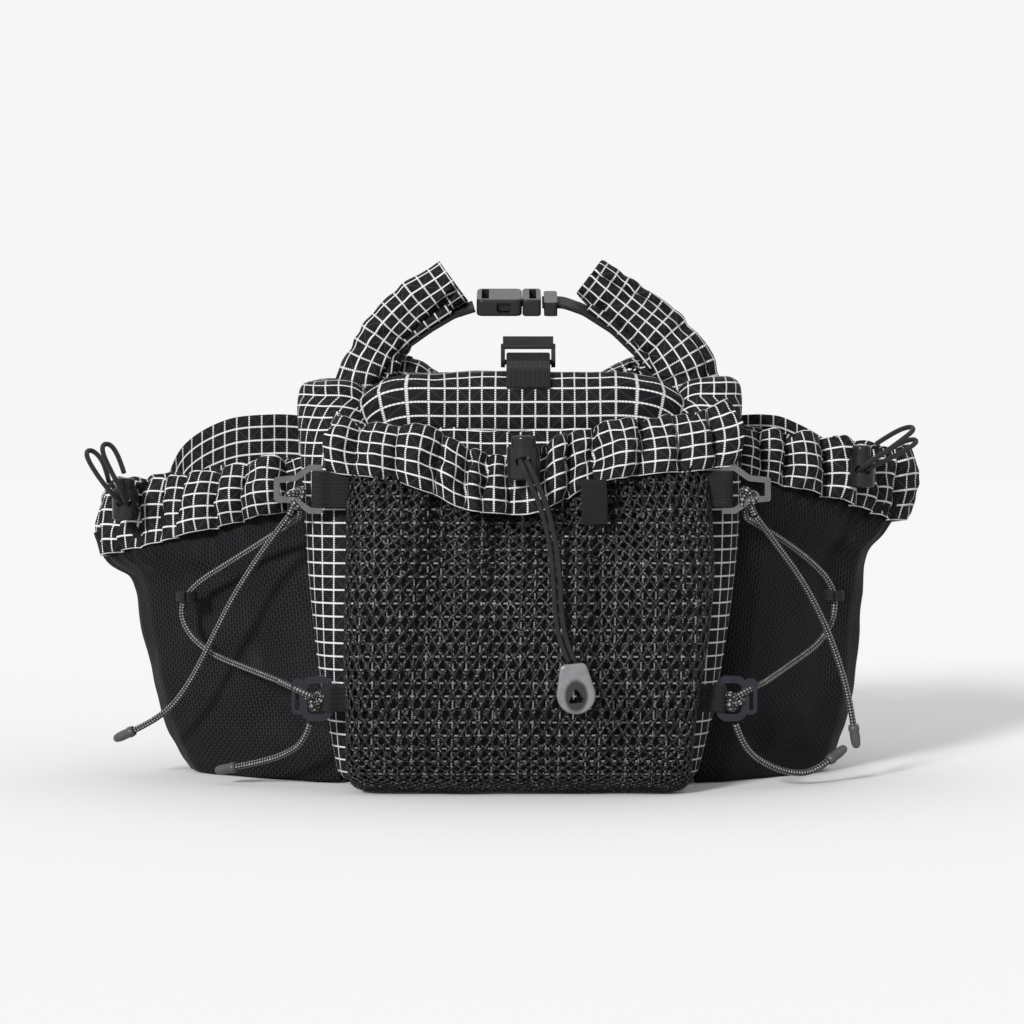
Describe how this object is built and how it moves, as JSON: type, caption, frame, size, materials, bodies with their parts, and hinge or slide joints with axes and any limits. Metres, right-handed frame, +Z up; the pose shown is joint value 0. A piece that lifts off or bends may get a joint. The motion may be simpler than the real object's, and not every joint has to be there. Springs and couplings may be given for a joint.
{
  "type": "waist pack",
  "caption": "Roll-top waist pack of gridstop fabric with a front net pocket, mesh side pockets, laced shock cord, cord locks and a buckled hip belt.",
  "frame": {"origin": "on the floor under the middle of the pack's box, cords left out", "axes": "+X to the right seen from the front, +Y from the net pocket towards the wearer, +Z up"},
  "size_m": [0.4072, 0.2804, 0.2525],
  "materials": {
    "gridstop": "coated gridstop weave, white grid",
    "net": "open knitted net",
    "pocket_mesh": "fine stretch mesh",
    "back_mesh": "spacer mesh",
    "belt_fabric": "padded ripstop",
    "foam": "closed-cell foam",
    "board": "stiffener sheet",
    "webbing": "ribbed webbing",
    "black_plastic": "moulded acetal",
    "lock_plastic": "moulded acetal",
    "navy_plastic": "moulded acetal",
    "hook_metal": "gloss grey",
    "spring_steel": "wire",
    "draw_cord": "braided cord",
    "shock_cord": "braided shock cord with reflective thread",
    "cord_end": "crimped end",
    "tab_grey": "moulded grey"
  },
  "bodies": {
    "pack": {"back_mesh": "back_mesh", "back_pad": "foam", "base_panel": "board", "belt_buckle_socket": "black_plastic", "belt_straps": "webbing", "bottom_webbing": "webbing", "bungee_left_lower_tail": "shock_cord", "bungee_left_span": "shock_cord", "bungee_left_upper_tail": "shock_cord", "bungee_right_lower_tail": "shock_cord", "bungee_right_span": "shock_cord", "bungee_right_upper_tail": "shock_cord", "cord_ends": "cord_end", "cord_guides": "webbing", "front_cord_left": "draw_cord", "front_cord_right": "draw_cord", "front_cuff": "gridstop", "front_lock_barrel": "lock_plastic", "front_net_pocket": "net", "hip_wing_left": "belt_fabric", "hip_wing_right": "belt_fabric", "hook_tabs": "webbing", "label_tab": "webbing", "lock_springs": "spring_steel", "main_bag": "gridstop", "pull_tab": "tab_grey", "roll_buckle_socket": "black_plastic", "roll_end_left": "gridstop", "roll_stiffener": "board", "roll_strap_left": "webbing", "roll_top": "gridstop", "side_backs": "gridstop", "side_cord_left_a": "draw_cord", "side_cord_left_b": "draw_cord", "side_cord_right_a": "draw_cord", "side_cord_right_b": "draw_cord", "side_cuff_left": "gridstop", "side_cuff_right": "gridstop", "side_lock_left_barrel": "lock_plastic", "side_lock_right_barrel": "lock_plastic", "side_pocket_left": "pocket_mesh", "side_pocket_right": "pocket_mesh", "top_strap": "webbing"},
    "roll_plug": {"roll_end_right": "gridstop", "roll_strap_right": "webbing", "roll_buckle_plug": "black_plastic", "roll_strap_slider": "black_plastic"},
    "roll_arm_front": {"roll_buckle_arm_front": "black_plastic"},
    "roll_arm_rear": {"roll_buckle_arm_rear": "black_plastic"},
    "belt_plug": {"belt_buckle_plug": "black_plastic"},
    "belt_arm_upper": {"belt_buckle_arm_upper": "black_plastic"},
    "belt_arm_lower": {"belt_buckle_arm_lower": "black_plastic"},
    "front_button": {"front_lock_plunger": "lock_plastic"},
    "left_button": {"side_lock_left_plunger": "lock_plastic"},
    "right_button": {"side_lock_right_plunger": "lock_plastic"},
    "strap_hook": {"top_strap_hook": "black_plastic"},
    "hook_upper_left": {"upper_hook_left": "hook_metal"},
    "hook_upper_right": {"upper_hook_right": "hook_metal"},
    "hook_lower_left": {"lower_hook_left": "navy_plastic"},
    "hook_lower_right": {"lower_hook_right": "navy_plastic"}
  },
  "joints": [
    {"name": "roll_buckle_release", "type": "slide", "parent": "pack", "child": "roll_plug", "axis": [1, 0, 0], "range_m": [0, 0.016]},
    {"name": "roll_arm_rear_press", "type": "hinge", "parent": "roll_plug", "child": "roll_arm_rear", "pos_m": [0.0059, -0.0338, 0.23425], "axis": [0, -0.2588, 0.9659], "range_deg": [0, 5], "stiffness_Nm_per_rad": 0.05},
    {"name": "roll_arm_front_press", "type": "hinge", "parent": "roll_plug", "child": "roll_arm_front", "pos_m": [0.0059, -0.0506, 0.22975], "axis": [0, -0.2588, 0.9659], "range_deg": [-5, 0], "stiffness_Nm_per_rad": 0.05},
    {"name": "belt_buckle_release", "type": "slide", "parent": "pack", "child": "belt_plug", "axis": [1, 0, 0], "range_m": [0, 0.02]},
    {"name": "belt_arm_upper_press", "type": "hinge", "parent": "belt_plug", "child": "belt_arm_upper", "pos_m": [0.0059, 0.1331, 0.1187], "axis": [0, -1, 0], "range_deg": [0, 5], "stiffness_Nm_per_rad": 0.05},
    {"name": "belt_arm_lower_press", "type": "hinge", "parent": "belt_plug", "child": "belt_arm_lower", "pos_m": [0.0059, 0.1331, 0.1013], "axis": [0, -1, 0], "range_deg": [-5, 0], "stiffness_Nm_per_rad": 0.05},
    {"name": "front_lock_press", "type": "slide", "parent": "pack", "child": "front_button", "axis": [0, 0, -1], "range_m": [0, 0.0025], "stiffness_N_per_m": 300, "springref_m": -0.001, "deforming": ["lock_springs"]},
    {"name": "left_lock_press", "type": "slide", "parent": "pack", "child": "left_button", "axis": [0, 0, -1], "range_m": [0, 0.0025], "stiffness_N_per_m": 300, "springref_m": -0.001, "deforming": ["lock_springs"]},
    {"name": "right_lock_press", "type": "slide", "parent": "pack", "child": "right_button", "axis": [0, 0, -1], "range_m": [0, 0.0025], "stiffness_N_per_m": 300, "springref_m": -0.001, "deforming": ["lock_springs"]},
    {"name": "upper_hook_left_swing", "type": "hinge", "parent": "pack", "child": "hook_upper_left", "pos_m": [-0.0891, -0.1082, 0.1425], "axis": [0, 0, 1], "range_deg": [0, 25]},
    {"name": "lower_hook_left_swing", "type": "hinge", "parent": "pack", "child": "hook_lower_left", "pos_m": [-0.0846, -0.1067, 0.044], "axis": [0, 0, 1], "range_deg": [0, 20]},
    {"name": "upper_hook_right_swing", "type": "hinge", "parent": "pack", "child": "hook_upper_right", "pos_m": [0.1009, -0.1082, 0.1425], "axis": [0, 0, 1], "range_deg": [-25, 0]},
    {"name": "lower_hook_right_swing", "type": "hinge", "parent": "pack", "child": "hook_lower_right", "pos_m": [0.0984, -0.1067, 0.044], "axis": [0, 0, 1], "range_deg": [-20, 0]},
    {"name": "strap_hook_tilt", "type": "hinge", "parent": "pack", "child": "strap_hook", "pos_m": [0.0089, -0.0572, 0.2026], "axis": [1, 0, 0], "range_deg": [-12, 12]}
  ]
}
